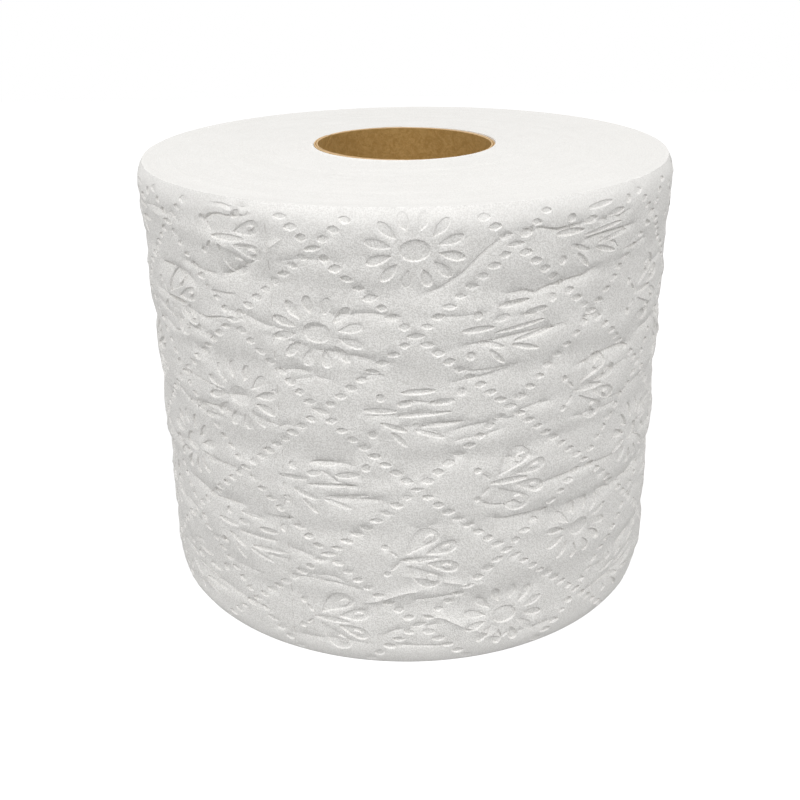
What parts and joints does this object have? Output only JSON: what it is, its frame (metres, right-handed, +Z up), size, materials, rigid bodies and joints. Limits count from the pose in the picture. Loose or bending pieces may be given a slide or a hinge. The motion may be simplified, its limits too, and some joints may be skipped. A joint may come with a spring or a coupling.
{
  "type": "toilet paper roll",
  "caption": "Full roll of embossed, perforated tissue wound on an open cardboard core, standing on its end with its tail lying at the back",
  "frame": {"origin": "centre of the bottom end, on the surface that the roll stands on", "axes": "+Z up along the core's axis; -Y is the front that the picture shows, +X to its right, and the tail lies at +Y"},
  "size_m": [0.1198, 0.1202, 0.1],
  "materials": {
    "tissue": "soft matte creped tissue, embossed, with fine turns showing on the ends",
    "core_board": "matte mottled golden-brown board in two plies, lighter where it is cut"
  },
  "bodies": {
    "root": {"paper_roll": "tissue", "cardboard_core": "core_board"}
  },
  "joints": []
}
